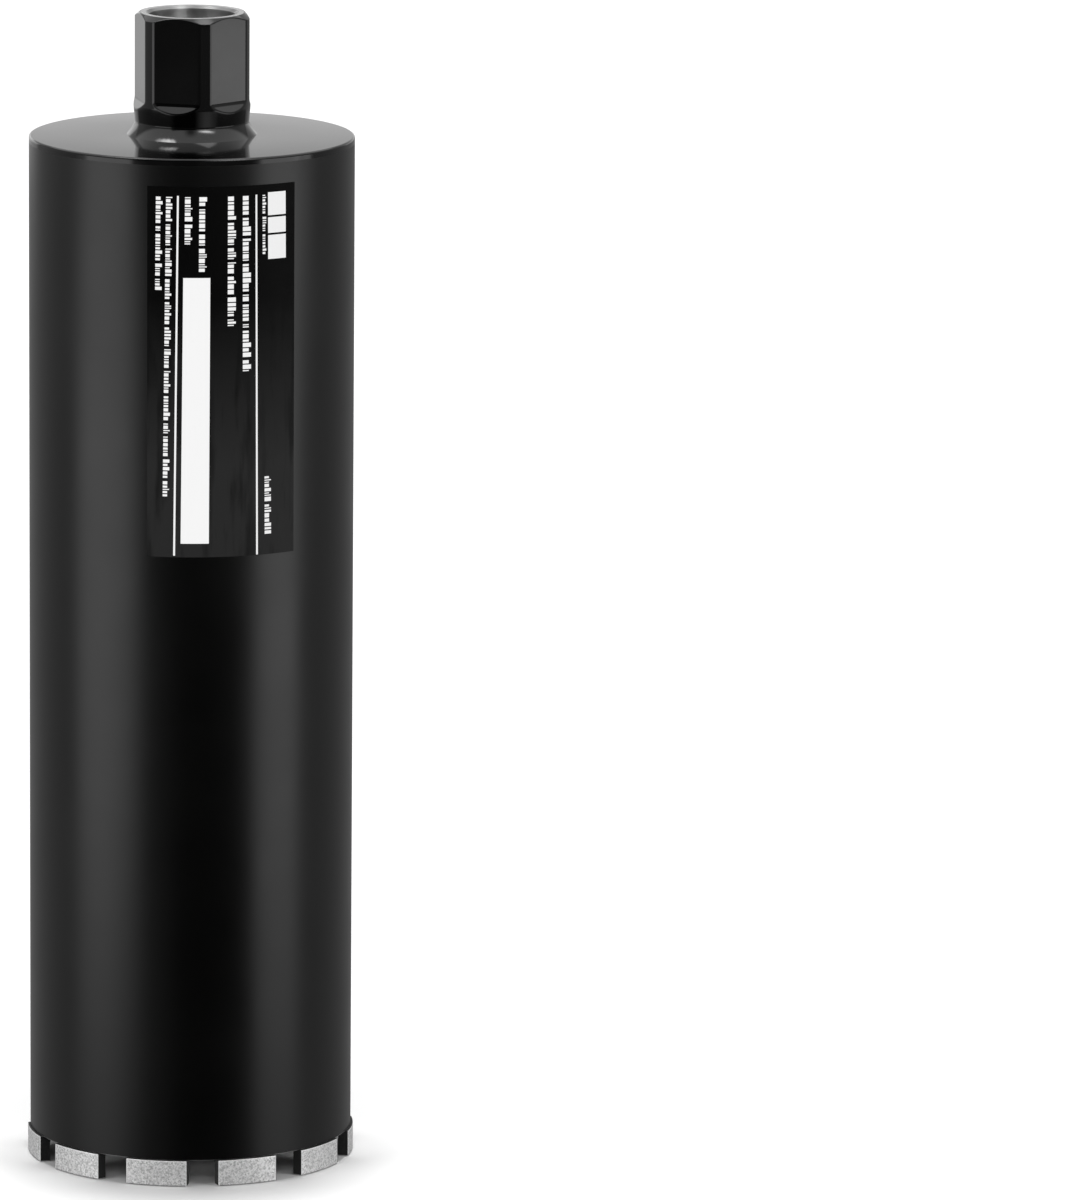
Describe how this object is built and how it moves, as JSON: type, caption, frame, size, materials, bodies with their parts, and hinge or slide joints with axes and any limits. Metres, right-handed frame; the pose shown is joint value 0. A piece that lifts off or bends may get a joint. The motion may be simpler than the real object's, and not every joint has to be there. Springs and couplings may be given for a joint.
{
  "type": "diamond core bit",
  "caption": "Painted steel barrel bit with a capped end, a threaded hub with wrench flats, and a ring of brazed diamond segments for drilling concrete.",
  "frame": {"origin": "centre of the cutting plane, on the bit's axis, level with the segments' tips", "axes": "+Z along the bit's axis towards the threaded hub; -Y is the front, where the label is"},
  "size_m": [0.127, 0.127, 0.447],
  "materials": {
    "black_paint": "gloss black enamel on steel",
    "sintered_metal": "ground sintered metal with diamond grit",
    "label_film": "printed gloss film"
  },
  "bodies": {
    "root": {"tube": "black_paint", "end_cap": "black_paint", "hub": "black_paint", "label": "label_film", "segment_01": "sintered_metal", "segment_02": "sintered_metal", "segment_03": "sintered_metal", "segment_04": "sintered_metal", "segment_05": "sintered_metal", "segment_06": "sintered_metal", "segment_07": "sintered_metal", "segment_08": "sintered_metal", "segment_09": "sintered_metal", "segment_10": "sintered_metal", "segment_11": "sintered_metal"}
  },
  "joints": []
}
